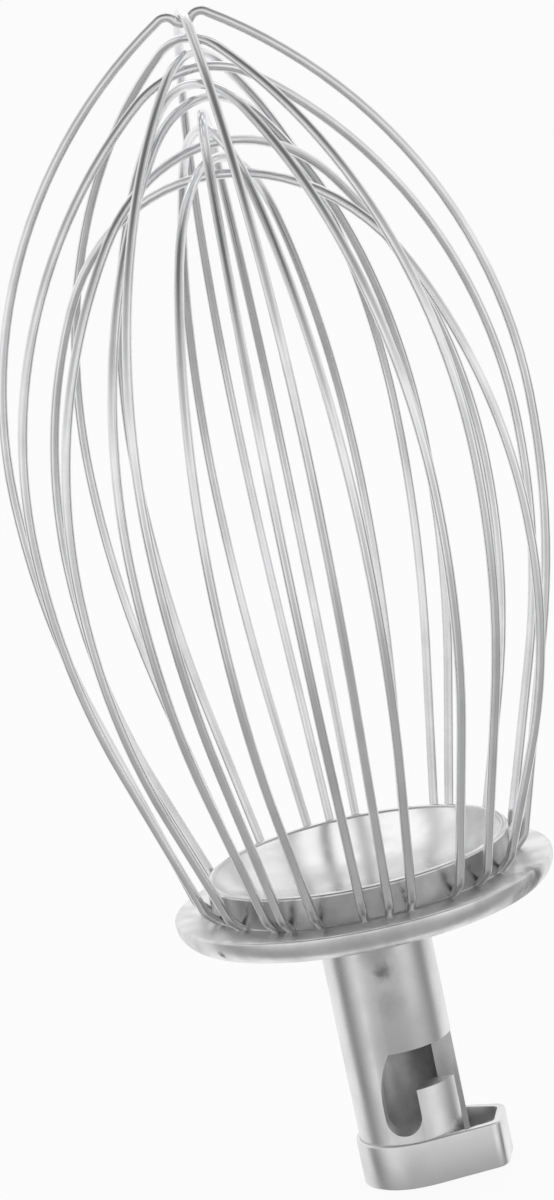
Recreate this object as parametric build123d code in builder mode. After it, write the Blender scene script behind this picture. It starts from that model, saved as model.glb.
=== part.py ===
"""Wire whip for a planetary stand mixer: bayonet shank, slot collar, cast hub and nested wire loops.

The axis of the whip is Z. The open end of the shank lies on Z = 0, and the wires rise from the hub above it.
The drive pin of the mixer enters the shank on the +X side and turns a quarter into its seat on the -Y side.
"""

import os
from math import acos, atan2, cos, degrees, radians, sin, sqrt, tan

from build123d import *

os.makedirs("parts", exist_ok=True)

# Shank, a tube that slides up over the mixer's drive shaft
SHANK_DIAMETER = 35.0
BORE_DIAMETER = 22.5
SHANK_LENGTH = 87.4

# Bayonet slot in the shank's wall, which takes the cross pin of the drive shaft
SLOT_WIDTH = 11.4
SLOT_TOP = 44.0
TONGUE_TOP = 31.0
SEAT_BOTTOM = 17.0
CAM_START = 27.0
CAM_END = -0.6

# Collar, a welded band that bridges the slot's open end with a loop for the pin
COLLAR_DIAMETER = 37.4
COLLAR_HEIGHT = 14.6
LOOP_REACH = 28.6
LOOP_WIDTH = 19.0
LOOP_WALL = 2.4
LOOP_CORNER = 5.0
COLLAR_EDGE = 0.8

# Hub, a turned casting with a flange, a ring and a shallow bowl
FLANGE_DIAMETER = 120.0
FLANGE_THICKNESS = 8.4
FLANGE_EDGE = 7.2
RING_DIAMETER = 96.0
RING_HEIGHT = 10.2
LIP_WIDTH = 2.6
LIP_EDGE = 0.9
BOWL_DEPTH = 8.6

# Wire and its slanted seats at the foot of the hub's ring
WIRE_DIAMETER = 3.0
SEAT_CLEARANCE = 0.1
SEAT_DEPTH = 6.4
SEAT_SLANT = 45.0
FOOT_REACH = 6.0
BEND_RADIUS = 5.0

# Loops, measured to the wire's centre: the first crosses over the saddle of the second, the rest nest below
CROWN_APEX = 371.8
SADDLE_DEPTH = 2.8
SADDLE_CLEARANCE = 0.2
PEAK_RADIUS = 3.4
NEST_DROP = 7.8
NEST_STEP = 4.7
BELLY_RADIUS = 80.8
BELLY_EASE = 38.0
TALL_BELLY_DROP = 135.0
SHORT_BELLY_DROP = 117.0
TALL_CROWN_RADIUS = 22.0
SHORT_CROWN_RADIUS = 68.0
LOOP_BEARINGS = (16, 98.5, 55.5, -21.5, -62.5, 42.5, -27.5, 7, 24, -45, -9.5, 70.5)

# Places that follow from the sizes above
HUB_BOTTOM = SHANK_LENGTH
FLANGE_TOP = HUB_BOTTOM + FLANGE_THICKNESS
RING_TOP = FLANGE_TOP + RING_HEIGHT
FLANGE_RADIUS = FLANGE_DIAMETER / 2
RING_RADIUS = RING_DIAMETER / 2
SHANK_RADIUS = SHANK_DIAMETER / 2
CUT_REACH = SHANK_DIAMETER
SADDLE_RADIUS = WIRE_DIAMETER + SADDLE_CLEARANCE
SADDLE_LOOP = 1
FIRST_NESTED = 2


def loop_plane(bearing):
    """Upright plane through the axis; its x runs outwards at a bearing from -Y towards +X, its y up."""
    angle = radians(bearing - 90)
    return Plane(
        origin=(0, 0, 0),
        x_dir=(cos(angle), sin(angle), 0),
        z_dir=(sin(angle), -cos(angle), 0),
    )


def seat_plane(bearing):
    """Plane across the bottom of one slanted wire seat, facing out of the seat."""
    slant = radians(SEAT_SLANT)
    upright = loop_plane(bearing)
    inset = SEAT_DEPTH * sin(slant)
    drop = SEAT_DEPTH * cos(slant)
    bottom = upright.from_local_coords((RING_RADIUS - inset, FLANGE_TOP - drop))
    outwards = upright.from_local_coords((sin(slant), cos(slant)))
    return Plane(origin=bottom, x_dir=upright.z_dir, z_dir=outwards)


def mirrored(point):
    """The same point of an upright plane on the other side of the whip's axis."""
    return (-point[0], point[1])


def loop_corners(radius, reach, half_width):
    """Corners of a wedge whose sides leave a round band as tangents and meet the loop's end wall."""
    angle = atan2(half_width, reach) + acos(radius / sqrt(reach**2 + half_width**2))
    touch = (radius * cos(angle), radius * sin(angle))
    return [touch, (touch[0], -touch[1]), (reach, -half_width), (reach, half_width)]


# Shank with its bore and bayonet slot
with BuildPart() as shank:
    with BuildSketch():
        Circle(SHANK_RADIUS)
        Circle(BORE_DIAMETER / 2, mode=Mode.SUBTRACT)
    extrude(amount=SHANK_LENGTH)
    # Entry channel, open at the end of the shank
    with BuildSketch(Plane.YZ):
        Rectangle(SLOT_WIDTH, SLOT_TOP, align=(Align.CENTER, Align.MIN))
    extrude(amount=CUT_REACH, mode=Mode.SUBTRACT)
    # Cross channel, a quarter turn round to the seat
    with BuildSketch(Plane.XY.offset(TONGUE_TOP)):
        Rectangle(CUT_REACH, CUT_REACH, align=(Align.MIN, Align.MAX))
    extrude(amount=SLOT_TOP - TONGUE_TOP, mode=Mode.SUBTRACT)
    # Seat for the pin, with a rounded bottom and a cam edge on its far side
    with BuildSketch(Plane.XZ):
        with BuildLine():
            half = SLOT_WIDTH / 2
            bottom_round = CenterArc((0, SEAT_BOTTOM + half), half, 180, 180)
            far_side = Line(bottom_round @ 0, (-half, CAM_START))
            cam = TangentArc(far_side @ 1, (CAM_END, SLOT_TOP), tangent=far_side % 1)
            Polyline(cam @ 1, (half, SLOT_TOP), bottom_round @ 1)
        make_face()
    extrude(amount=CUT_REACH, mode=Mode.SUBTRACT)
shank.part.label = "shank"
export_step(shank.part, "parts/shank.step")

# Collar round the shank's end, drawn out into the loop that the pin passes up through
with BuildPart() as slot_collar:
    with BuildSketch():
        Circle(COLLAR_DIAMETER / 2)
        with BuildSketch(mode=Mode.PRIVATE) as loop_outside:
            Polygon(*loop_corners(COLLAR_DIAMETER / 2, LOOP_REACH, LOOP_WIDTH / 2), align=None)
            fillet(loop_outside.vertices().group_by(Axis.X)[-1], LOOP_CORNER)
        add(loop_outside.sketch)
        Circle(SHANK_RADIUS, mode=Mode.SUBTRACT)
        with BuildSketch(mode=Mode.PRIVATE) as loop_inside:
            half_inside = LOOP_WIDTH / 2 - LOOP_WALL
            Polygon(*loop_corners(SHANK_RADIUS, LOOP_REACH - LOOP_WALL, half_inside), align=None)
            fillet(loop_inside.vertices().group_by(Axis.X)[-1], LOOP_CORNER - LOOP_WALL)
        add(loop_inside.sketch, mode=Mode.SUBTRACT)
    extrude(amount=COLLAR_HEIGHT)
    fillet(slot_collar.faces().sort_by(Axis.Z)[0].outer_wire().edges(), COLLAR_EDGE)
slot_collar.part.label = "slot_collar"
export_step(slot_collar.part, "parts/slot_collar.step")

# Hub, turned about the axis, with two wire seats for each loop
with BuildPart() as hub:
    with BuildSketch(Plane.XZ):
        with BuildLine():
            rim_start = (FLANGE_RADIUS - FLANGE_EDGE, HUB_BOTTOM)
            rim_end = (FLANGE_RADIUS, HUB_BOTTOM + FLANGE_EDGE)
            bowl_edge = RING_RADIUS - LIP_WIDTH
            bowl_radius = (bowl_edge**2 + BOWL_DEPTH**2) / (2 * BOWL_DEPTH)
            Line((0, HUB_BOTTOM), rim_start)
            TangentArc(rim_start, rim_end, tangent=(1, 0))
            Polyline(
                rim_end,
                (FLANGE_RADIUS, FLANGE_TOP),
                (RING_RADIUS, FLANGE_TOP),
                (RING_RADIUS, RING_TOP),
                (bowl_edge, RING_TOP),
            )
            RadiusArc((bowl_edge, RING_TOP), (0, RING_TOP - BOWL_DEPTH), bowl_radius)
            Line((0, RING_TOP - BOWL_DEPTH), (0, HUB_BOTTOM))
        make_face()
    revolve(axis=Axis.Z)
    lip = hub.edges().filter_by(GeomType.CIRCLE).group_by(Axis.Z)[-1]
    fillet(lip, LIP_EDGE)
    seats = [seat_plane(bearing + turn) for bearing in LOOP_BEARINGS for turn in (0, 180)]
    with BuildSketch(*seats):
        Circle((WIRE_DIAMETER + SEAT_CLEARANCE) / 2)
    extrude(amount=SEAT_DEPTH + FOOT_REACH, mode=Mode.SUBTRACT)
hub.part.label = "hub"
export_step(hub.part, "parts/hub.step")

# Wire loops, each one rod bent in a plane through the axis and seated at both ends
slant = radians(SEAT_SLANT)
wire_end = (RING_RADIUS - SEAT_DEPTH * sin(slant), FLANGE_TOP - SEAT_DEPTH * cos(slant))
bend_x = RING_RADIUS + FOOT_REACH * sin(slant)
bend_y = FLANGE_TOP + FOOT_REACH * cos(slant)

for index, bearing in enumerate(LOOP_BEARINGS):
    # Loops get shorter and rounder down the nest
    rank = max(index - FIRST_NESTED, 0)
    share = rank / (len(LOOP_BEARINGS) - 1 - FIRST_NESTED)
    belly_drop = TALL_BELLY_DROP + share * (SHORT_BELLY_DROP - TALL_BELLY_DROP)
    apex = CROWN_APEX - NEST_DROP - rank * NEST_STEP
    crown_radius = TALL_CROWN_RADIUS + share * (SHORT_CROWN_RADIUS - TALL_CROWN_RADIUS)
    peak_offset = 0
    if index < SADDLE_LOOP:
        apex = CROWN_APEX
    if index == SADDLE_LOOP:
        apex = CROWN_APEX - SADDLE_RADIUS + SADDLE_DEPTH
        crown_radius = PEAK_RADIUS
        arm = PEAK_RADIUS + SADDLE_RADIUS
        peak_offset = sqrt(arm**2 - (arm - SADDLE_DEPTH) ** 2)
        dip = degrees(acos(peak_offset / arm))

    # The flank arc is upright at the belly and touches the crown arc at the shoulder
    crown_centre = (peak_offset, apex - crown_radius)
    belly_height = apex - belly_drop
    width = BELLY_RADIUS - peak_offset
    height = belly_drop - crown_radius
    flank_radius = (width**2 + height**2 - crown_radius**2) / (2 * (width - crown_radius))
    flank_centre = (BELLY_RADIUS - flank_radius, belly_height)
    shoulder = degrees(atan2(height, peak_offset - flank_centre[0]))

    # The straight run from the bend above the seat eases into the belly through the run arc
    lean = degrees(atan2(BELLY_RADIUS - bend_x, belly_height - BELLY_EASE - bend_y))
    run_radius = BELLY_EASE / tan(radians(lean / 2))
    run_centre = (BELLY_RADIUS - run_radius, belly_height)
    turn = SEAT_SLANT - lean
    bend_run = BEND_RADIUS * tan(radians(turn / 2))
    bend_centre = (
        bend_x - bend_run * sin(slant) - BEND_RADIUS * cos(slant),
        bend_y - bend_run * cos(slant) + BEND_RADIUS * sin(slant),
    )

    with BuildPart() as wire_loop:
        with BuildLine(loop_plane(bearing)) as route:
            near_bend = CenterArc(bend_centre, BEND_RADIUS, -SEAT_SLANT, turn)
            near_run = CenterArc(run_centre, run_radius, -lean, lean)
            CenterArc(flank_centre, flank_radius, 0, shoulder)
            if index == SADDLE_LOOP:
                CenterArc(crown_centre, crown_radius, shoulder, 180 - dip - shoulder)
                CenterArc((0, CROWN_APEX), SADDLE_RADIUS, -dip, 2 * dip - 180)
                CenterArc(mirrored(crown_centre), crown_radius, dip, 180 - dip - shoulder)
            else:
                CenterArc(crown_centre, crown_radius, shoulder, 180 - 2 * shoulder)
            CenterArc(mirrored(flank_centre), flank_radius, 180 - shoulder, shoulder)
            far_run = CenterArc(mirrored(run_centre), run_radius, 180, lean)
            far_bend = CenterArc(mirrored(bend_centre), BEND_RADIUS, 180 + lean, turn)
            Line(wire_end, near_bend @ 0)
            Line(near_bend @ 1, near_run @ 0)
            Line(far_run @ 1, far_bend @ 0)
            Line(far_bend @ 1, mirrored(wire_end))
        with BuildSketch(seat_plane(bearing)):
            Circle(WIRE_DIAMETER / 2)
        sweep(path=route.wire())
    name = f"wire_loop_{index + 1:02d}"
    wire_loop.part.label = name
    export_step(wire_loop.part, f"parts/{name}.step")
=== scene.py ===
"""Dressed scene of a balloon whip for a planetary stand mixer.

The whip has bright wire loops, a cast hub and a tubular bayonet shank with a bridging collar. Every piece is
remade as a smooth mesh in the place of its solid and given a metal finish, then lit as a studio still.
Lengths are in metres and angles in degrees, unless a docstring says otherwise.
"""

import logging
from dataclasses import dataclass, field
from enum import Enum
from math import acos, atan2, cos, degrees, pi, radians, sin, sqrt, tan
from typing import ClassVar

import bpy
from bpy.types import Material, Node, NodeSocket, NodeTree, Object
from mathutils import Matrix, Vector

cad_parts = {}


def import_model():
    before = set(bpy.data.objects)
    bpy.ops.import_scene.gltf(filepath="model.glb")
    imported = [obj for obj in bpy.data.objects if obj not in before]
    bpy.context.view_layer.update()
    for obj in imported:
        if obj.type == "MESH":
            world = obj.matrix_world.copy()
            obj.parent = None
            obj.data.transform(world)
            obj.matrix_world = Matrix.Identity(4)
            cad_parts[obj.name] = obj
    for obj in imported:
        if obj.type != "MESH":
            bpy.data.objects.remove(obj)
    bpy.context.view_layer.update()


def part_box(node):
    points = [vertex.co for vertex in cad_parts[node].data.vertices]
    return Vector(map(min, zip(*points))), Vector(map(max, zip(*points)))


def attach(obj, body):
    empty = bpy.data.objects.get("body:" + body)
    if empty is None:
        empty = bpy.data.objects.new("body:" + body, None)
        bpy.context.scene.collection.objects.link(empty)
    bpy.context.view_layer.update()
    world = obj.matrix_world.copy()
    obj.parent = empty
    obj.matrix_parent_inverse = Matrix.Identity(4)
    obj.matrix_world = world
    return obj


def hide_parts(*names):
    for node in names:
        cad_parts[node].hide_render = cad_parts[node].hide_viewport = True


LOG = logging.getLogger("wire_whip")
MM = 0.001
HALF_TURN = 180
BODY = "root"
SMOOTH_ANGLE = radians(32)
SHARP_ANGLE = radians(40)
MERGE_GAP = 1e-6

# Sockets of a Mix node that mixes colours
MIX_FIRST = 6
MIX_SECOND = 7
MIX_RESULT = 2

NodeInput = NodeSocket | float | tuple[float, ...]


class MetalSlot(Enum):
    """Material slots of the record, for the wire, the hub and the shank."""

    WIRE = "wire_steel"
    HUB = "hub_metal"
    SHANK = "shank_steel"


class Fade(Enum):
    """Course of a value from one end of its range to the other."""

    LINEAR = "LINEAR"
    SMOOTH = "SMOOTHSTEP"


# Modelling helpers


def deselect_all() -> None:
    """Leaves edit mode and clears the selection."""
    if bpy.context.object is not None and bpy.context.object.mode != "OBJECT":
        bpy.ops.object.mode_set(mode="OBJECT")
    bpy.ops.object.select_all(action="DESELECT")


def make_active(piece: Object) -> None:
    """Selects one object alone and makes it active.

    Args:
        piece: The object that the next operators act on.
    """
    deselect_all()
    piece.select_set(True)
    bpy.context.view_layer.objects.active = piece


def settle(piece: Object) -> None:
    """Puts a piece's place into its mesh, so that its object sits at the origin."""
    make_active(piece)
    bpy.ops.object.transform_apply(location=True, rotation=True, scale=True)


def smooth(piece: Object) -> None:
    """Smooths the shading of a piece, except across its sharp edges."""
    make_active(piece)
    bpy.ops.object.shade_smooth_by_angle(angle=SMOOTH_ANGLE)


def apply_modifier(piece: Object, name: str) -> None:
    """Applies one modifier of a piece."""
    make_active(piece)
    bpy.ops.object.modifier_apply(modifier=name)


def mirrored(point: Vector) -> Vector:
    """The point as far on the other side of the axis, in an upright plane."""
    return Vector((-point.x, point.y))


def arc_points(centre: Vector, radius: float, start: float, size: float, steps: int) -> list[Vector]:
    """Points along an arc in a plane, without its first point; angles count from the plane's x direction."""
    angles = [radians(start + size * i / steps) for i in range(1, steps + 1)]
    return [centre + Vector((cos(a), sin(a))) * radius for a in angles]


def close_and_smooth(piece: Object) -> None:
    """Merges doubles, fills open ends, points the faces outwards and smooths the shading.

    Args:
        piece: The mesh object to finish.
    """
    make_active(piece)
    bpy.ops.object.mode_set(mode="EDIT")
    bpy.ops.mesh.select_all(action="SELECT")
    bpy.ops.mesh.remove_doubles(threshold=MERGE_GAP)
    bpy.ops.mesh.fill_holes(sides=0)
    bpy.ops.mesh.select_all(action="SELECT")
    bpy.ops.mesh.normals_make_consistent(inside=False)
    smooth(piece)


def cut(piece: Object, tool: Object) -> None:
    """Cuts another mesh out of a piece and removes it.

    Args:
        piece: The object that is cut.
        tool: The object that is cut away.
    """
    boolean = piece.modifiers.new("cut", "BOOLEAN")
    boolean.operation = "DIFFERENCE"
    boolean.solver = "EXACT"
    boolean.object = tool
    apply_modifier(piece, boolean.name)
    bpy.data.objects.remove(tool, do_unlink=True)


def round_edges(piece: Object, width: float, segments: int) -> None:
    """Rounds the sharp edges of a piece a little.

    Args:
        piece: The object to round.
        width: Width of the rounding.
        segments: Faces across each rounding.
    """
    bevel = piece.modifiers.new("edge", "BEVEL")
    bevel.width = width
    bevel.segments = segments
    bevel.limit_method = "ANGLE"
    bevel.angle_limit = SHARP_ANGLE
    apply_modifier(piece, bevel.name)


def block(low: Vector, high: Vector) -> Object:
    """A box between two corners.

    Args:
        low: Lowest corner.
        high: Highest corner.

    Returns:
        The new object.
    """
    deselect_all()
    bpy.ops.mesh.primitive_cube_add(size=1, location=(low + high) / 2)
    box = bpy.context.object
    box.scale = high - low
    settle(box)
    return box


def turned(name: str, profile: list[Vector], sides: int) -> Object:
    """A solid of revolution about Z, drawn ring by ring from a circle.

    Args:
        name: Name of the new object.
        profile: Radius and height of each ring in order. A radius of zero ends in a point.
        sides: Number of sides of each ring.

    Returns:
        The new object, with its first and last rings left open.
    """
    deselect_all()
    first = profile[0]
    bpy.ops.mesh.primitive_circle_add(vertices=sides, radius=first.x, location=(0, 0, first.y))
    piece = bpy.context.object
    piece.name = name
    settle(piece)
    bpy.ops.object.mode_set(mode="EDIT")
    bpy.ops.mesh.select_all(action="SELECT")
    last = first
    for ring in profile[1:]:
        bpy.ops.mesh.extrude_region_move(TRANSFORM_OT_translate={"value": (0, 0, ring.y - last.y)})
        if ring.x <= 0:
            bpy.ops.mesh.merge(type="CENTER")
            break
        share = ring.x / last.x
        bpy.ops.transform.resize(value=(share, share, 1), center_override=(0, 0, ring.y))
        last = ring
    bpy.ops.object.mode_set(mode="OBJECT")
    return piece


def prism(name: str, corners: list[Vector], along: Vector) -> Object:
    """A prism whose first end is drawn corner by corner.

    Args:
        name: Name of the new object.
        corners: Corners of the first end in order.
        along: Way from the first end to the second.

    Returns:
        The new object.
    """
    deselect_all()
    bpy.ops.mesh.primitive_plane_add(size=1, location=(0, 0, 0))
    piece = bpy.context.object
    piece.name = name
    bpy.ops.object.mode_set(mode="EDIT")
    bpy.ops.mesh.select_all(action="SELECT")
    bpy.ops.mesh.merge(type="CENTER")
    bpy.ops.transform.translate(value=corners[0])
    for here, there in zip(corners, corners[1:]):
        bpy.ops.mesh.extrude_region_move(TRANSFORM_OT_translate={"value": there - here})
    bpy.ops.mesh.select_all(action="SELECT")
    bpy.ops.mesh.edge_face_add()
    bpy.ops.mesh.extrude_region_move(TRANSFORM_OT_translate={"value": along})
    bpy.ops.mesh.select_all(action="SELECT")
    bpy.ops.mesh.normals_make_consistent(inside=False)
    bpy.ops.object.mode_set(mode="OBJECT")
    return piece


def take_place(piece: Object, material: Material, node: str) -> None:
    """Gives a piece its finish and puts it in the place of its solid.

    Args:
        piece: The finished mesh.
        material: Its material.
        node: The solid that it stands for.
    """
    piece.data.materials.clear()
    piece.data.materials.append(material)
    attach(piece, BODY)
    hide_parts(node)
    LOG.info("%s stands for %s with %d faces", piece.name, node, len(piece.data.polygons))


# Node helpers


def add_node(tree: NodeTree, kind: str, inputs: dict[str | int, NodeInput], **settings: str) -> Node:
    """Adds a node, sets its properties and fills its inputs.

    Args:
        tree: Node tree to add to.
        kind: Type of the node.
        inputs: What each input takes, by its name or number: a value, or a socket that is linked to it.
        settings: Properties of the node.

    Returns:
        The new node.
    """
    node = tree.nodes.new(kind)
    for name, choice in settings.items():
        setattr(node, name, choice)
    for key, value in inputs.items():
        if isinstance(value, NodeSocket):
            tree.links.new(value, node.inputs[key])
        else:
            node.inputs[key].default_value = value
    return node


def compute(tree: NodeTree, operation: str, *terms: NodeInput) -> NodeSocket:
    """Adds a Math node and gives its value socket."""
    return add_node(tree, "ShaderNodeMath", dict(enumerate(terms)), operation=operation).outputs["Value"]


def measure(tree: NodeTree, operation: str, *terms: NodeInput) -> NodeSocket:
    """Adds a Vector Math node that compares two vectors and gives its value socket."""
    node = add_node(tree, "ShaderNodeVectorMath", dict(enumerate(terms)), operation=operation)
    return node.outputs["Value"]


def noise(tree: NodeTree, place: NodeSocket, scale: float, detail: float) -> NodeSocket:
    """Adds a noise over a place's coordinates and gives its value socket."""
    inputs = {"Vector": place, "Scale": scale, "Detail": detail}
    return add_node(tree, "ShaderNodeTexNoise", inputs).outputs["Fac"]


def mix_colours(tree: NodeTree, share: NodeSocket, first: NodeInput, second: NodeInput) -> NodeSocket:
    """Adds a mix of two colours, with a share of the second, and gives its colour socket."""
    inputs = {"Factor": share, MIX_FIRST: first, MIX_SECOND: second}
    return add_node(tree, "ShaderNodeMix", inputs, data_type="RGBA").outputs[MIX_RESULT]


def mix_shaders(tree: NodeTree, share: NodeSocket, first: NodeInput, second: NodeInput) -> NodeSocket:
    """Adds a mix of two shaders, with a share of the second, and gives its shader socket."""
    return add_node(tree, "ShaderNodeMixShader", {"Fac": share, 1: first, 2: second}).outputs["Shader"]


def change_range(
    tree: NodeTree,
    value: NodeSocket,
    source: tuple[float, float],
    target: tuple[float, float],
    fade: Fade,
) -> NodeSocket:
    """Adds a Map Range node.

    Args:
        tree: Node tree to add to.
        value: Value socket to change.
        source: Range that the value comes from.
        target: What the ends of that range become.
        fade: Course between them.

    Returns:
        The changed value's socket.
    """
    inputs = {
        "Value": value,
        "From Min": source[0],
        "From Max": source[1],
        "To Min": target[0],
        "To Max": target[1],
    }
    return add_node(tree, "ShaderNodeMapRange", inputs, interpolation_type=fade.value).outputs["Result"]


# Finishes


def grey(tone: float) -> tuple[float, float, float]:
    """A colour without a tint."""
    return (tone, tone, tone)


@dataclass(frozen=True)
class DarkPatch:
    """A dark patch on the metal, with a ragged edge.

    Attributes:
        centre: Middle of the mark.
        radius: Reach of the mark.
        depth: How far it darkens the metal, from 0 to 1.
    """

    centre: tuple[float, float, float]
    radius: float
    depth: float

    # Shares of the radius: full mark, no mark, and swing of the ragged edge
    CORE: ClassVar[float] = 0.4
    RIM: ClassVar[float] = 1.4
    RAG: ClassVar[float] = 0.8
    RAGS_TO_RADIUS: ClassVar[float] = 2.2
    RAG_DETAIL: ClassVar[float] = 3.0
    DARK_TONE: ClassVar[tuple[float, ...]] = (*grey(0.05), 1)

    def darken(self, tree: NodeTree, place: NodeSocket, colour: NodeSocket) -> NodeSocket:
        """Darkens the metal round the mark, with a ragged edge.

        Args:
            tree: Node tree to add to.
            place: Socket of the Object coordinates.
            colour: Colour socket to darken.

        Returns:
            The darkened colour socket.
        """
        distance = measure(tree, "DISTANCE", place, self.centre)
        ragged = noise(tree, place, self.RAGS_TO_RADIUS / self.radius, self.RAG_DETAIL)
        reach = compute(tree, "MULTIPLY_ADD", ragged, self.radius * self.RAG, distance)
        span = (self.radius * self.CORE, self.radius * self.RIM)
        share = change_range(tree, reach, span, (self.depth, 0.0), Fade.SMOOTH)
        return mix_colours(tree, share, colour, self.DARK_TONE)


@dataclass(frozen=True)
class MetalFinish:
    """Bare metal with faint clouding, fine working lines and a few dark patches.

    Attributes:
        name: Name of the material.
        colour: Reflection colour of the clean metal.
        roughness: Mean roughness.
        cloud_scale: Clouds to a metre.
        cloud_depth: Share by which the clouds change the colour.
        line_stretch: Stretch of the working lines along X, Y and Z.
        line_depth: Bump distance of the working lines.
        dark_patches: Dark patches.
    """

    name: str
    colour: tuple[float, float, float]
    roughness: float
    cloud_scale: float
    cloud_depth: float
    line_stretch: tuple[float, float, float]
    line_depth: float
    dark_patches: tuple[DarkPatch, ...] = ()

    # Values of the clouding where the metal is dull and where it is clean
    TINT_SPAN: ClassVar[tuple[float, float]] = (0.36, 0.58)
    # Values where it is rough and where it is smooth, with the shares of the mean roughness there
    SHEEN_SPAN: ClassVar[tuple[float, float]] = (0.3, 0.7)
    SHEEN_SHARES: ClassVar[tuple[float, float]] = (1.25, 0.8)
    CLOUD_DETAIL: ClassVar[float] = 5.0
    LINE_SCALE: ClassVar[float] = 1.0
    LINE_DETAIL: ClassVar[float] = 4.0
    LINE_STRENGTH: ClassVar[float] = 0.5

    def material(self) -> Material:
        """Makes the node material.

        Returns:
            The new material.
        """
        material = bpy.data.materials.new(self.name)
        material.use_nodes = True
        tree = material.node_tree
        shader = tree.nodes["Principled BSDF"]
        shader.inputs["Metallic"].default_value = 1.0
        place = tree.nodes.new("ShaderNodeTexCoord").outputs["Object"]
        clouds = noise(tree, place, self.cloud_scale, self.CLOUD_DETAIL)
        colour = self.tinted(tree, clouds)
        for patch in self.dark_patches:
            colour = patch.darken(tree, place, colour)
        tree.links.new(colour, shader.inputs["Base Color"])
        tree.links.new(self.sheen(tree, clouds), shader.inputs["Roughness"])
        tree.links.new(self.lines(tree, place), shader.inputs["Normal"])
        return material

    def tinted(self, tree: NodeTree, clouds: NodeSocket) -> NodeSocket:
        """Colours the metal between a clouded and a clean tone.

        Args:
            tree: Node tree to add to.
            clouds: Value socket of the clouding.

        Returns:
            The colour socket.
        """
        ramp = add_node(tree, "ShaderNodeValToRGB", {"Fac": clouds})
        dull = tuple(c * (1 - self.cloud_depth) for c in self.colour)
        for element, position, tone in zip(ramp.color_ramp.elements, self.TINT_SPAN, (dull, self.colour)):
            element.position = position
            element.color = (*tone, 1)
        return ramp.outputs["Color"]

    def sheen(self, tree: NodeTree, clouds: NodeSocket) -> NodeSocket:
        """Varies the roughness with the clouding and gives its socket."""
        rough, smoother = (self.roughness * share for share in self.SHEEN_SHARES)
        return change_range(tree, clouds, self.SHEEN_SPAN, (rough, smoother), Fade.LINEAR)

    def lines(self, tree: NodeTree, place: NodeSocket) -> NodeSocket:
        """Adds the fine lines that drawing, turning or polishing leaves.

        Args:
            tree: Node tree to add to.
            place: Socket of the Object coordinates.

        Returns:
            The normal socket.
        """
        mapping = add_node(tree, "ShaderNodeMapping", {"Vector": place, "Scale": self.line_stretch})
        grain = noise(tree, mapping.outputs["Vector"], self.LINE_SCALE, self.LINE_DETAIL)
        inputs = {"Strength": self.LINE_STRENGTH, "Distance": self.line_depth, "Height": grain}
        return add_node(tree, "ShaderNodeBump", inputs).outputs["Normal"]


# Pieces of the whip


@dataclass
class WireRod:
    """A round rod that is drawn and bent step by step in one upright plane.

    Attributes:
        bearing: Bearing of the plane's x direction from -Y towards +X.
        radius: Radius of the rod.
        sides: Sides of the rod.
        piece: The mesh object, once started.
        tip: Where the rod has got to, in the plane.
    """

    bearing: float
    radius: float
    sides: int
    piece: Object | None = None
    tip: Vector = field(default_factory=lambda: Vector((0, 0)))

    @property
    def angle(self) -> float:
        """Angle of the plane's x direction from +X, in radians."""
        return radians(self.bearing - 90)

    def world(self, point: Vector) -> Vector:
        """Place in the whip's frame of a point of the plane."""
        return Vector((point.x * cos(self.angle), point.x * sin(self.angle), point.y))

    def start(self, name: str, at: Vector, along: Vector) -> None:
        """Adds the circle that the rod grows from and leaves it open for editing.

        Args:
            name: Name of the new object.
            at: First point of the rod, in the plane.
            along: Direction of the rod there, in the plane.
        """
        deselect_all()
        facing = self.world(along).to_track_quat("Z", "Y").to_euler()
        bpy.ops.mesh.primitive_circle_add(
            vertices=self.sides, radius=self.radius, location=self.world(at), rotation=facing
        )
        self.piece = bpy.context.object
        self.piece.name = name
        settle(self.piece)
        bpy.ops.object.mode_set(mode="EDIT")
        bpy.ops.mesh.select_all(action="SELECT")
        self.tip = at.copy()

    def straight(self, to: Vector) -> None:
        """Draws the rod straight on.

        Args:
            to: Where the run ends, in the plane.
        """
        step = self.world(to) - self.world(self.tip)
        bpy.ops.mesh.extrude_region_move(TRANSFORM_OT_translate={"value": step})
        self.tip = to.copy()

    def turn(self, centre: Vector, size: float, steps: int) -> None:
        """Bends the rod round a centre.

        Args:
            centre: Centre of the bend, in the plane.
            size: Turn, positive from the plane's x towards its y.
            steps: Faces along the bend.
        """
        way = radians(size)
        axis = (sin(self.angle), -cos(self.angle), 0)
        bpy.ops.mesh.spin(steps=steps, angle=-way, center=self.world(centre), axis=axis)
        arm = self.tip - centre
        self.tip = centre + Vector((arm.x * cos(way) - arm.y * sin(way), arm.x * sin(way) + arm.y * cos(way)))

    def finish(self) -> Object:
        """Closes the rod's ends and gives the finished object."""
        close_and_smooth(self.piece)
        return self.piece


@dataclass(frozen=True)
class LoopSizes:
    """Sizes that set one loop of the nest apart from the others.

    Attributes:
        apex: Height of the loop.
        drop: Drop from there to the belly.
        crown: Radius of the bend at the crown, or of the bends beside its dip.
        peak: Distance of that bend's centre from the axis.
        dip: Slope of the line between that bend's centre and the dip's, 90 without a dip.
    """

    apex: float
    drop: float
    crown: float
    peak: float = 0.0
    dip: float = 90.0


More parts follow.
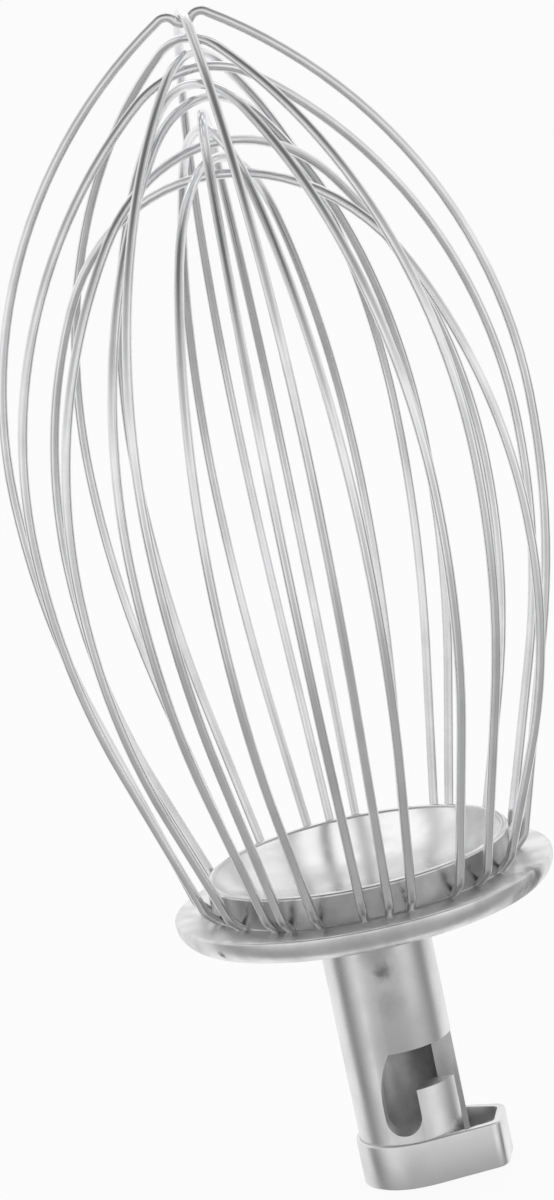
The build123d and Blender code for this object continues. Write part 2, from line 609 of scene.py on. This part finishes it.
@dataclass
class WireNest:
    """The nested wire loops, each one rod bent in an upright plane through the axis.

    Attributes:
        bearings: Bearing of each loop's near end from -Y towards +X, the topmost loop first.
        wire_diameter: Thickness of the wire.
        seat_depth: Length of wire inside the hub.
        seat_slant: Slant of the seats from the axis.
        foot_reach: Wire from the seat's mouth to the middle of the bend.
        bend_radius: Radius of the bend above the seat.
        crown_apex: Height of the topmost loop.
        saddle_depth: Dip at the tip of the second loop, where the first crosses it.
        saddle_clearance: Gap between the two where they cross.
        peak_radius: Radius of the bends beside the dip.
        nest_drop: Step down from the topmost loop to the third.
        nest_step: Step down from one loop to the next.
        belly_radius: Widest radius of the loops.
        belly_ease: Half the length of the bend into the belly.
        belly_drop: Drop from apex to belly of the tallest and the shortest loop.
        crown_radius: Radius at the crown of the tallest and the shortest loop.
        sides: Sides of the wire.
    """

    bearings: tuple[float, ...] = (16, 98.5, 55.5, -21.5, -62.5, 42.5, -27.5, 7, 24, -45, -9.5, 70.5)
    wire_diameter: float = 3.0 * MM
    seat_depth: float = 6.4 * MM
    seat_slant: float = 45.0
    foot_reach: float = 6.0 * MM
    bend_radius: float = 5.0 * MM
    crown_apex: float = 371.8 * MM
    saddle_depth: float = 2.8 * MM
    saddle_clearance: float = 0.2 * MM
    peak_radius: float = 3.4 * MM
    nest_drop: float = 7.8 * MM
    nest_step: float = 4.7 * MM
    belly_radius: float = 80.8 * MM
    belly_ease: float = 38.0 * MM
    belly_drop: tuple[float, float] = (135.0 * MM, 117.0 * MM)
    crown_radius: tuple[float, float] = (22.0 * MM, 68.0 * MM)
    sides: int = 20

    SADDLE_LOOP: ClassVar[int] = 1
    FIRST_NESTED: ClassVar[int] = 2
    FOOT_STEPS: ClassVar[int] = 5
    BEND_STEPS: ClassVar[int] = 10
    ARCH_STEPS: ClassVar[int] = 24

    def build(self, ring_radius: float, flange_top: float) -> list[Object]:
        """Bends every loop, the topmost first, from seats at the foot of the hub's ring."""
        mouth = Vector((ring_radius, flange_top))
        return [self.bend(index, mouth) for index in range(len(self.bearings))]

    def dress(self, loops: list[Object], drawn: Material) -> None:
        """Gives the loops, the topmost first, the finish of drawn wire."""
        for number, loop in enumerate(loops, start=1):
            take_place(loop, drawn, f"wire_loop_{number:02d}")

    def sizes(self, index: int) -> LoopSizes:
        """Sizes of one loop.

        Args:
            index: Place of the loop in the nest.

        Returns:
            Its sizes.
        """
        rank = max(index - self.FIRST_NESTED, 0)
        share = rank / (len(self.bearings) - 1 - self.FIRST_NESTED)
        drop = self.belly_drop[0] + share * (self.belly_drop[1] - self.belly_drop[0])
        crown = self.crown_radius[0] + share * (self.crown_radius[1] - self.crown_radius[0])
        if index < self.SADDLE_LOOP:
            return LoopSizes(self.crown_apex, drop, crown)
        if index > self.SADDLE_LOOP:
            return LoopSizes(self.crown_apex - self.nest_drop - rank * self.nest_step, drop, crown)
        saddle = self.wire_diameter + self.saddle_clearance
        arm = self.peak_radius + saddle
        peak = sqrt(arm**2 - (arm - self.saddle_depth) ** 2)
        apex = self.crown_apex - saddle + self.saddle_depth
        return LoopSizes(apex, drop, self.peak_radius, peak, degrees(acos(peak / arm)))

    def bend(self, index: int, mouth: Vector) -> Object:
        """Bends one loop: a circle of the wire's section is drawn along runs and spun round bends.

        Args:
            index: Place of the loop in the nest.
            mouth: Mouth of its seat, in the loop's own plane.

        Returns:
            The new object.
        """
        loop = self.sizes(index)
        belly = loop.apex - loop.drop
        slant = radians(self.seat_slant)
        along = Vector((sin(slant), cos(slant)))
        tail = mouth - along * self.seat_depth
        corner = mouth + along * self.foot_reach

        # Bend above the seat, and the long bend from the straight run into the belly
        lean = degrees(atan2(self.belly_radius - corner.x, belly - self.belly_ease - corner.y))
        outwards = Vector((cos(radians(lean)), -sin(radians(lean))))
        foot = self.seat_slant - lean
        foot_start = corner - along * self.bend_radius * tan(radians(foot / 2))
        foot_centre = foot_start + Vector((-along.y, along.x)) * self.bend_radius
        foot_end = foot_centre + outwards * self.bend_radius
        ease = self.belly_ease / tan(radians(lean / 2))
        ease_centre = Vector((self.belly_radius - ease, belly))

        # Flank from the belly to the crown
        width = self.belly_radius - loop.peak
        height = loop.drop - loop.crown
        flank = (width**2 + height**2 - loop.crown**2) / (2 * (width - loop.crown))
        shoulder = degrees(atan2(height, loop.peak - self.belly_radius + flank))
        flank_centre = Vector((self.belly_radius - flank, belly))

        rod = WireRod(self.bearings[index], self.wire_diameter / 2, self.sides)
        rod.start(f"wire_{index + 1:02d}", tail, along)
        rod.straight(foot_start)
        rod.turn(foot_centre, foot, self.FOOT_STEPS)
        rod.straight(ease_centre + outwards * ease)
        rod.turn(ease_centre, lean, self.BEND_STEPS)
        rod.turn(flank_centre, shoulder, self.ARCH_STEPS)
        self.bend_crown(rod, loop, shoulder)
        rod.turn(mirrored(flank_centre), shoulder, self.ARCH_STEPS)
        rod.turn(mirrored(ease_centre), lean, self.BEND_STEPS)
        rod.straight(mirrored(foot_end))
        rod.turn(mirrored(foot_centre), foot, self.FOOT_STEPS)
        rod.straight(mirrored(tail))
        return rod.finish()

    def bend_crown(self, rod: WireRod, loop: LoopSizes, shoulder: float) -> None:
        """Bends a loop's crown, in one arch or with a dip between two peaks.

        Args:
            rod: The rod, bent as far as the crown.
            loop: Sizes of the loop.
            shoulder: Slope of the flank's arm where it meets the crown.
        """
        centre = Vector((loop.peak, loop.apex - loop.crown))
        if loop.peak > 0:
            side = HALF_TURN - loop.dip - shoulder
            rod.turn(centre, side, self.BEND_STEPS)
            rod.turn(Vector((0, self.crown_apex)), 2 * loop.dip - HALF_TURN, self.BEND_STEPS)
            rod.turn(mirrored(centre), side, self.BEND_STEPS)
        else:
            rod.turn(centre, HALF_TURN - 2 * shoulder, self.ARCH_STEPS)


@dataclass
class HubCasting:
    """The turned hub: a flange with a rounded lower edge, a raised ring and a shallow bowl.

    Attributes:
        bottom: Height of the underside.
        flange_radius: Radius of the flange.
        flange_thickness: Thickness of the flange.
        flange_edge: Radius of the flange's lower edge.
        rim_edge: Radius of the flange's upper edge.
        ring_radius: Radius of the ring.
        ring_height: Height of the ring above the flange.
        ring_foot: Size of the small slope at the ring's foot.
        lip_width: Width of the ring's lip.
        lip_edge: Radius of the lip's edges.
        lip_turn: Turn of the lip's inner edge, down to the bowl.
        bowl_depth: Depth of the bowl below the lip.
        flange_margin: Height above the flange where its finish ends.
        sides: Sides of each turned ring.
    """

    bottom: float
    flange_radius: float
    flange_thickness: float = 8.4 * MM
    flange_edge: float = 7.2 * MM
    rim_edge: float = 0.7 * MM
    ring_radius: float = 48.0 * MM
    ring_height: float = 10.2 * MM
    ring_foot: float = 0.4 * MM
    lip_width: float = 2.6 * MM
    lip_edge: float = 0.9 * MM
    lip_turn: float = 75
    bowl_depth: float = 8.6 * MM
    flange_margin: float = 0.1 * MM
    sides: int = 160

    EDGE_STEPS: ClassVar[int] = 10
    RIM_STEPS: ClassVar[int] = 4
    LIP_STEPS: ClassVar[int] = 5
    BOWL_STEPS: ClassVar[int] = 22
    UPRIGHT_LIMIT: ClassVar[float] = 0.1
    # Slot of the ring wall's darkened finish, painted shade
    SHADED_WALL_INDEX: ClassVar[int] = 1
    FLANGE_INDEX: ClassVar[int] = 2

    @property
    def flange_top(self) -> float:
        """Height of the flange's upper face."""
        return self.bottom + self.flange_thickness

    def build(self) -> Object:
        """Turns the hub.

        Returns:
            The new object.
        """
        top = self.flange_top
        lip = top + self.ring_height
        ring = self.ring_radius
        under = Vector((self.flange_radius - self.flange_edge, self.bottom + self.flange_edge))
        rim = Vector((self.flange_radius - self.rim_edge, top - self.rim_edge))
        outer = Vector((ring - self.lip_edge, lip - self.lip_edge))
        inner = Vector((ring - self.lip_width + self.lip_edge, lip - self.lip_edge))
        profile = [Vector((under.x, self.bottom))]
        profile += arc_points(under, self.flange_edge, -90, 90, self.EDGE_STEPS)
        profile += [Vector((self.flange_radius, rim.y))]
        profile += arc_points(rim, self.rim_edge, 0, 90, self.RIM_STEPS)
        profile += [Vector((ring + self.ring_foot, top)), Vector((ring, top + self.ring_foot))]
        profile += [Vector((ring, outer.y))]
        profile += arc_points(outer, self.lip_edge, 0, 90, self.LIP_STEPS)
        profile += [Vector((inner.x, lip))]
        profile += arc_points(inner, self.lip_edge, 90, self.lip_turn, self.LIP_STEPS)
        profile += self.bowl(profile[-1], lip)
        piece = turned("hub_casting", profile, self.sides)
        close_and_smooth(piece)
        return piece

    def bowl(self, edge: Vector, lip: float) -> list[Vector]:
        """Rings of the bowl, a shallow part of a ball.

        Args:
            edge: Radius and height of the bowl's edge.
            lip: Height of the lip.

        Returns:
            Radius and height of each ring, down to the middle.
        """
        depth = self.bowl_depth - (lip - edge.y)
        reach = (edge.x**2 + depth**2) / (2 * depth)
        centre = lip - self.bowl_depth + reach
        radii = [edge.x * (1 - i / self.BOWL_STEPS) for i in range(1, self.BOWL_STEPS + 1)]
        return [Vector((radius, centre - sqrt(reach**2 - radius**2))) for radius in radii]

    def dress(self, piece: Object, cast: Material, wall: Material, flange: Material) -> None:
        """Gives the hub its finish, the ring's outer wall a darkened copy of it as painted shade, and the
        flange a finish of its own.

        Args:
            piece: The hub.
            cast: The finish of the hub.
            wall: The finish of the ring's outer wall: the hub's metal darkened, painted shade and a painted
                dark reflection.
            flange: The finish of the flange.
        """
        take_place(piece, cast, "hub")
        piece.data.materials.append(wall)
        piece.data.materials.append(flange)
        low = self.flange_top + self.flange_margin
        high = self.flange_top + self.ring_height - self.lip_edge
        mid_lip = self.ring_radius - self.lip_width / 2
        for face in piece.data.polygons:
            # The ring's outer wall takes the darkened finish: painted shade
            upright = abs(face.normal.z) < self.UPRIGHT_LIMIT and low < face.center.z < high
            if upright and face.center.xy.length > mid_lip:
                face.material_index = self.SHADED_WALL_INDEX
            if face.center.z < low:
                face.material_index = self.FLANGE_INDEX


@dataclass
class BayonetShank:
    """The tubular shank with the slot for the drive pin.

    Attributes:
        radius: Outer radius.
        length: Length of the tube.
        bore_radius: Radius of the drive bore.
        slot_width: Width of the slot.
        slot_top: Height of the slot's upper edge.
        tongue_top: Height of the tongue between entry and seat.
        seat_bottom: Height of the seat's rounded bottom.
        cam_start: Height where the seat's far side starts to lean.
        cam_end: Place of the lean's upper end, across the seat.
        edge: Rounding of the edges.
        sides: Sides of the tube.
    """

    radius: float
    length: float
    bore_radius: float = 11.25 * MM
    slot_width: float = 11.4 * MM
    slot_top: float = 44.0 * MM
    tongue_top: float = 31.0 * MM
    seat_bottom: float = 17.0 * MM
    cam_start: float = 27.0 * MM
    cam_end: float = -0.6 * MM
    edge: float = 0.25 * MM
    sides: int = 144

    EDGE_SEGMENTS: ClassVar[int] = 3
    SEAT_STEPS: ClassVar[int] = 18
    CAM_STEPS: ClassVar[int] = 12
    # Slot of the bore's darkened finish, painted shade
    SHADED_BORE_INDEX: ClassVar[int] = 1
    MILLED_INDEX: ClassVar[int] = 2

    def build(self) -> Object:
        """Turns the tube and cuts the slot.

        Returns:
            The new object.
        """
        outside = [Vector((self.radius, 0)), Vector((self.radius, self.length))]
        inside = [Vector((self.bore_radius, self.length)), Vector((self.bore_radius, 0))]
        piece = turned("shank_tube", outside + inside + outside[:1], self.sides)
        close_and_smooth(piece)
        clear = 2 * self.radius
        half = self.slot_width / 2
        cut(piece, block(Vector((0, -half, -clear)), Vector((clear, half, self.slot_top))))
        cut(piece, block(Vector((0, -clear, self.tongue_top)), Vector((clear, 0, self.slot_top))))
        cut(piece, self.seat_cutter())
        round_edges(piece, self.edge, self.EDGE_SEGMENTS)
        smooth(piece)
        return piece

    def seat_cutter(self) -> Object:
        """A prism of the seat's outline that reaches out through the wall on -Y.

        Returns:
            The new object.
        """
        half = self.slot_width / 2
        rise = self.slot_top - self.cam_start
        shift = self.cam_end + half
        cam = (shift**2 + rise**2) / (2 * shift)
        sweep = degrees(atan2(rise, cam - shift))
        seat = Vector((0, self.seat_bottom + half))
        outline = [Vector((half, self.slot_top)), Vector((half, seat.y))]
        outline += arc_points(seat, half, 0, -HALF_TURN, self.SEAT_STEPS)
        outline += [Vector((-half, self.cam_start))]
        outline += arc_points(Vector((cam - half, self.cam_start)), cam, HALF_TURN, -sweep, self.CAM_STEPS)
        corners = [Vector((point.x, 0, point.y)) for point in outline]
        return prism("seat_cutter", corners, Vector((0, -2 * self.radius, 0)))

    def dress(self, piece: Object, satin: Material, bore: Material, milled: Material) -> None:
        """Gives the shank its finish, the bore a darkened copy of it as painted shade, and the walls of the
        slot a finish of their own.

        Args:
            piece: The shank.
            satin: The finish of the shank.
            bore: The finish of the bore: the metal darkened, painted shade inside the tube.
            milled: The finish of the slot's walls.
        """
        take_place(piece, satin, "shank")
        piece.data.materials.append(bore)
        piece.data.materials.append(milled)
        for face in piece.data.polygons:
            reach = face.center.xy.length
            # The bore takes the darkened finish: painted shade
            if reach < self.bore_radius + self.edge:
                face.material_index = self.SHADED_BORE_INDEX
            elif reach < self.radius - self.edge and self.edge < face.center.z < self.length - self.edge:
                face.material_index = self.MILLED_INDEX


@dataclass
class SlotCollar:
    """The band round the shank's end, drawn out into the loop that bridges the slot.

    Attributes:
        shank_radius: Radius of the shank inside the band.
        radius: Outer radius of the band.
        height: Height of the band.
        reach: Reach of the loop from the axis.
        end_width: Width of the loop at its end wall, between sharp corners.
        wall: Wall of the loop.
        corner: Outer corner radius of the loop.
        edge: Rounding of the outer edges.
        inner_edge: Rounding of the edges inside.
        sides: Sides of the band.
    """

    shank_radius: float
    radius: float
    height: float
    reach: float
    end_width: float = 19.0 * MM
    wall: float = 2.4 * MM
    corner: float = 5.0 * MM
    edge: float = 0.6 * MM
    inner_edge: float = 0.15 * MM
    sides: int = 96

    EDGE_SEGMENTS: ClassVar[int] = 3
    INNER_SEGMENTS: ClassVar[int] = 2
    CORNER_STEPS: ClassVar[int] = 10

    def build(self) -> Object:
        """Draws the band and hollows it.

        Returns:
            The new object.
        """
        half = self.end_width / 2
        past = self.height
        wall = self.wall
        outside = self.outline(self.radius, self.reach, half, self.corner)
        inside = self.outline(self.shank_radius, self.reach - wall, half - wall, self.corner - wall)
        piece = prism("collar_band", [Vector((*point, 0)) for point in outside], Vector((0, 0, self.height)))
        hole = prism("collar_hole", [Vector((*point, -past)) for point in inside], Vector((0, 0, 3 * past)))
        round_edges(piece, self.edge, self.EDGE_SEGMENTS)
        cut(piece, hole)
        round_edges(piece, self.inner_edge, self.INNER_SEGMENTS)
        smooth(piece)
        return piece

    def outline(self, radius: float, reach: float, half: float, corner: float) -> list[Vector]:
        """Outline of a round band whose sides run on as tangents to a rounded end wall.

        Args:
            radius: Radius of the band.
            reach: Distance of the end wall from the axis.
            half: Half the width of the end wall, to its sharp corner.
            corner: Radius of its corners.

        Returns:
            The points in order.
        """
        angle = atan2(half, reach) + acos(radius / sqrt(reach**2 + half**2))
        turn = degrees(angle)
        across = (radius - corner - cos(angle) * (reach - corner)) / sin(angle)
        near = Vector((reach - corner, -across))
        far = Vector((reach - corner, across))
        points = [Vector((cos(angle), sin(angle))) * radius]
        points += arc_points(Vector((0, 0)), radius, turn, 2 * HALF_TURN - 2 * turn, self.sides)
        points += [near + Vector((cos(angle), -sin(angle))) * corner]
        points += arc_points(near, corner, -turn, turn, self.CORNER_STEPS)
        points += [Vector((reach, across))]
        points += arc_points(far, corner, 0, turn, self.CORNER_STEPS)
        return points

    def dress(self, piece: Object, satin: Material) -> None:
        """Gives the collar the shank's finish."""
        take_place(piece, satin, "slot_collar")


# Studio


@dataclass
class PhotoCamera:
    """A long lens that looks at the whip from a little above, rolled so that the tip leans to the left.

    Attributes:
        azimuth: Bearing of the camera from -Y towards +X.
        elevation: Height of the camera above the level.
        roll: Lean of the whip's axis to the left in the picture.
        distance: Distance from the target.
        frame_height: Height of the picture at the target.
        aim: Height on the axis of the target.
        shift_right: Target's offset from the axis, to the right in the picture.
        clip_start: Distance from the camera where the view starts.
    """

    azimuth: float = 9.5
    elevation: float = 11.0
    roll: float = 11.9
    distance: float = 1.6
    frame_height: float = 0.3705
    aim: float = 0.1872
    shift_right: float = -0.0083
    clip_start: float = 0.01

    SENSOR: ClassVar[float] = 36.0

    def build(self) -> None:
        """Sets the camera up and makes it the scene's own."""
        az = radians(self.azimuth)
        el = radians(self.elevation)
        roll = radians(self.roll)
        back = Vector((sin(az) * cos(el), -cos(az) * cos(el), sin(el)))
        level_right = Vector((cos(az), sin(az), 0))
        level_up = back.cross(level_right)
        right = level_right * cos(roll) - level_up * sin(roll)
        up = level_up * cos(roll) + level_right * sin(roll)
        target = Vector((0, 0, self.aim)) + right * self.shift_right
        data = bpy.data.cameras.new("photo_camera")
        data.sensor_fit = "VERTICAL"
        data.sensor_height = self.SENSOR
        data.lens = self.SENSOR * self.distance / self.frame_height
        data.clip_start = self.clip_start
        camera = bpy.data.objects.new("photo_camera", data)
        bpy.context.scene.collection.objects.link(camera)
        place = camera.matrix_world
        for row in range(3):
            place[row][0] = right[row]
            place[row][1] = up[row]
            place[row][2] = back[row]
            place[row][3] = target[row] + back[row] * self.distance
        camera.matrix_world = place
        bpy.context.scene.camera = camera


@dataclass(frozen=True)
class LightBand:
    """Brightness all round the whip at one height of the studio, the same to its left and right.

    Attributes:
        height: Sine of the band's elevation.
        levels: Bearings from the viewer, each with the brightness there.
    """

    height: float
    levels: tuple[tuple[float, float], ...]

    NEW_STOP: ClassVar[float] = 0.5

    def ramp(self, tree: NodeTree, bearing: NodeSocket) -> NodeSocket:
        """Adds the band's brightness.

        Args:
            tree: Node tree to add to.
            bearing: Bearing from the viewer, as a share of half a turn.

        Returns:
            The brightness socket.
        """
        node = add_node(tree, "ShaderNodeValToRGB", {"Fac": bearing})
        elements = node.color_ramp.elements
        while len(elements) < len(self.levels):
            elements.new(self.NEW_STOP)
        for element, (degree, level) in zip(elements, self.levels):
            element.position = degree / HALF_TURN
            element.color = (*grey(level), 1)
        return node.outputs["Color"]


@dataclass
class Studio:
    """A pale floor and a soft room: white behind and above the whip, darker low down at its sides and front.

    Attributes:
        view_azimuth: Bearing of the viewer from -Y towards +X.
        bands: Brightness of the room, the lowest band first.
        floor_size: Side of the floor.
        floor_height: Height of the floor.
        floor_tone: Brightness of the floor's paint.
        floor_white: Share of plain white in the floor that the viewer sees; the rest shows the shadow.
        box_power: Power of the soft box.
        box_size: Width and height of the soft box.
        box_distance: Distance of the soft box behind and above the whip.
    """

    view_azimuth: float
    bands: tuple[LightBand, ...]
    floor_size: float = 24.0
    floor_height: float = -0.0005
    floor_tone: float = 0.95
    floor_white: float = 0.92
    box_power: float = 1.5
    box_size: tuple[float, float] = (1.4, 1.0)
    box_distance: float = 1.3

    def build(self) -> None:
        """Adds floor, room and soft box."""
        self.floor()
        self.room()
        self.soft_box()

    def floor(self) -> None:
        """Adds the pale floor."""
        deselect_all()
        bpy.ops.mesh.primitive_plane_add(size=self.floor_size, location=(0, 0, self.floor_height))
        floor = bpy.context.object
        floor.name = "studio_floor"
        settle(floor)
        floor.data.materials.append(self.floor_paint())

    def floor_paint(self) -> Material:
        """Makes the floor's material: white to the viewer with a faint shadow, and clear to the metal.

        Returns:
            The new material.
        """
        material = bpy.data.materials.new("pale_floor")
        material.use_nodes = True
        tree = material.node_tree
        tree.nodes.clear()
        ray = tree.nodes.new("ShaderNodeLightPath")
        matt = add_node(tree, "ShaderNodeBsdfDiffuse", {"Color": (*grey(self.floor_tone), 1)})
        glow = add_node(tree, "ShaderNodeEmission", {"Strength": 1.0})
        clear = tree.nodes.new("ShaderNodeBsdfTransparent")
        seen = compute(tree, "MULTIPLY", ray.outputs["Is Camera Ray"], self.floor_white)
        mirror = compute(tree, "MAXIMUM", ray.outputs["Is Glossy Ray"], ray.outputs["Is Transmission Ray"])
        white = mix_shaders(tree, seen, matt.outputs["BSDF"], glow.outputs["Emission"])
        surface = mix_shaders(tree, mirror, white, clear.outputs["BSDF"])
        add_node(tree, "ShaderNodeOutputMaterial", {"Surface": surface})
        return material

    def room(self) -> None:
        """Lights the scene from the bands, blended by height, and shows white to the viewer."""
        world = bpy.data.worlds.new("studio_room")
        bpy.context.scene.world = world
        world.use_nodes = True
        tree = world.node_tree
        tree.nodes.clear()
        place = tree.nodes.new("ShaderNodeTexCoord").outputs["Generated"]
        height = add_node(tree, "ShaderNodeSeparateXYZ", {"Vector": place}).outputs["Z"]
        bearing = self.bearing(tree, place)
        level = self.bands[0].ramp(tree, bearing)
        for below, above in zip(self.bands, self.bands[1:]):
            rise = change_range(tree, height, (below.height, above.height), (0.0, 1.0), Fade.SMOOTH)
            level = mix_colours(tree, rise, level, above.ramp(tree, bearing))
        around = add_node(tree, "ShaderNodeBackground", {"Color": level}).outputs["Background"]
        white = add_node(tree, "ShaderNodeBackground", {"Color": (*grey(1), 1)}).outputs["Background"]
        ray = tree.nodes.new("ShaderNodeLightPath")
        surface = mix_shaders(tree, ray.outputs["Is Camera Ray"], around, white)
        add_node(tree, "ShaderNodeOutputWorld", {"Surface": surface})

    def bearing(self, tree: NodeTree, place: NodeSocket) -> NodeSocket:
        """Adds the bearing of a direction from the viewer, without regard to left and right.

        Args:
            tree: Node tree to add to.
            place: Socket of the direction.

        Returns:
            The bearing as a share of half a turn.
        """
        az = radians(self.view_azimuth)
        right = measure(tree, "DOT_PRODUCT", place, (cos(az), sin(az), 0))
        near = measure(tree, "DOT_PRODUCT", place, (sin(az), -cos(az), 0))
        turn = compute(tree, "ARCTAN2", right, near)
        return compute(tree, "DIVIDE", compute(tree, "ABSOLUTE", turn), pi)

    def soft_box(self) -> None:
        """Adds one wide soft box above and behind the whip, facing it."""
        lamp = bpy.data.lights.new("soft_box", "AREA")
        lamp.shape = "RECTANGLE"
        lamp.size, lamp.size_y = self.box_size
        lamp.energy = self.box_power
        holder = bpy.data.objects.new("soft_box", lamp)
        bpy.context.scene.collection.objects.link(holder)
        az = radians(self.view_azimuth)
        holder.location = Vector((-sin(az), cos(az), 1)) * self.box_distance
        holder.rotation_euler = holder.location.to_track_quat("Z", "Y").to_euler()


# Looks of this whip

ROOM = (
    LightBand(-0.55, ((0, 0.42), (60, 0.44), (100, 0.32), (125, 0.85), (150, 1.0))),
    LightBand(
        -0.19,
        ((0, 0.6), (28, 0.64), (46, 1.0), (60, 0.95), (78, 0.5), (90, 0.22), (102, 0.22), (115, 0.95)),
    ),
    LightBand(0.2, ((0, 0.95), (60, 1.0), (95, 0.85), (120, 1.0))),
    LightBand(0.55, ((0, 0.5), (60, 0.55), (100, 0.6), (150, 0.95))),
    LightBand(0.9, ((0, 0.15), (60, 0.18), (100, 0.3), (150, 0.85))),
)
ROUND_LINES = (160.0, 160.0, 900.0)
TUBE_LINES = (500.0, 500.0, 90.0)
WIRE_FINISH = MetalFinish(
    name="bright_drawn_wire",
    colour=(0.86, 0.86, 0.87),
    roughness=0.18,
    cloud_scale=60.0,
    cloud_depth=0.1,
    line_stretch=(300.0, 300.0, 30.0),
    line_depth=0.000003,
)
HUB_FINISH = MetalFinish(
    name="polished_casting",
    colour=grey(0.76),
    roughness=0.22,
    cloud_scale=42.0,
    cloud_depth=0.14,
    line_stretch=ROUND_LINES,
    line_depth=0.00005,
)
FLANGE_FINISH = MetalFinish(
    name="satin_flange",
    colour=grey(0.83),
    roughness=0.34,
    cloud_scale=85.0,
    cloud_depth=0.17,
    line_stretch=ROUND_LINES,
    line_depth=0.00005,
    # A small dark dot on the rim at the front left, and three darker patches on the rim towards +X
    dark_patches=(
        DarkPatch((-0.0405, -0.0435, 0.0912), 0.0022, 0.9),
        DarkPatch((0.0568, -0.0187, 0.0932), 0.0065, 0.78),
        DarkPatch((0.0545, -0.0235, 0.0905), 0.0085, 0.78),
        DarkPatch((0.05, -0.0283, 0.0887), 0.0065, 0.62),
    ),
)
# The ring's outer wall: the hub's metal darkened to 0.44, painted shade from the wires close in front of it
# and a painted dark reflection
RING_SHADE_FINISH = MetalFinish(
    name="ring_wall_painted_shade",
    colour=grey(0.44),
    roughness=0.3,
    cloud_scale=60.0,
    cloud_depth=0.3,
    line_stretch=ROUND_LINES,
    line_depth=0.00003,
)
SHANK_FINISH = MetalFinish(
    name="satin_tube",
    colour=grey(0.8),
    roughness=0.27,
    cloud_scale=55.0,
    cloud_depth=0.12,
    line_stretch=TUBE_LINES,
    line_depth=0.00003,
    # A smudge of use on the front of the shank
    dark_patches=(
        DarkPatch((0.0029, -0.0173, 0.0705), 0.0042, 0.62),
        DarkPatch((0.0022, -0.0173, 0.077), 0.0085, 0.3),
        DarkPatch((0.003, -0.0173, 0.06), 0.007, 0.2),
    ),
)
MILLED_FINISH = MetalFinish(
    name="milled_slot",
    colour=grey(0.85),
    roughness=0.5,
    cloud_scale=80.0,
    cloud_depth=0.15,
    line_stretch=(90.0, 90.0, 500.0),
    line_depth=0.00003,
)
# The bore: the tube's metal darkened to 0.58, painted shade inside the tube where little light gets in
BORE_SHADE_FINISH = MetalFinish(
    name="bore_painted_shade",
    colour=grey(0.58),
    roughness=0.45,
    cloud_scale=80.0,
    cloud_depth=0.3,
    line_stretch=TUBE_LINES,
    line_depth=0.00003,
)


def main() -> None:
    """Builds the whip, the studio and the camera."""
    logging.basicConfig(level=logging.INFO, format="%(name)s: %(message)s")
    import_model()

    hub_low, hub_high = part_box("hub")
    shank_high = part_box("shank")[1]
    collar_low, collar_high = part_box("slot_collar")

    hub = HubCasting(bottom=hub_low.z, flange_radius=(hub_high.y - hub_low.y) / 2)
    hub.dress(hub.build(), HUB_FINISH.material(), RING_SHADE_FINISH.material(), FLANGE_FINISH.material())

    satin = SHANK_FINISH.material()
    shank = BayonetShank(radius=shank_high.y, length=shank_high.z)
    shank.dress(shank.build(), satin, BORE_SHADE_FINISH.material(), MILLED_FINISH.material())

    collar = SlotCollar(
        shank_radius=shank_high.y, radius=-collar_low.x, height=collar_high.z, reach=collar_high.x
    )
    collar.dress(collar.build(), satin)

    nest = WireNest()
    nest.dress(nest.build(hub.ring_radius, hub.flange_top), WIRE_FINISH.material())

    camera = PhotoCamera()
    camera.build()
    Studio(view_azimuth=camera.azimuth, bands=ROOM).build()
    bpy.context.scene.view_settings.view_transform = "Standard"


if __name__ == "__main__":
    main()
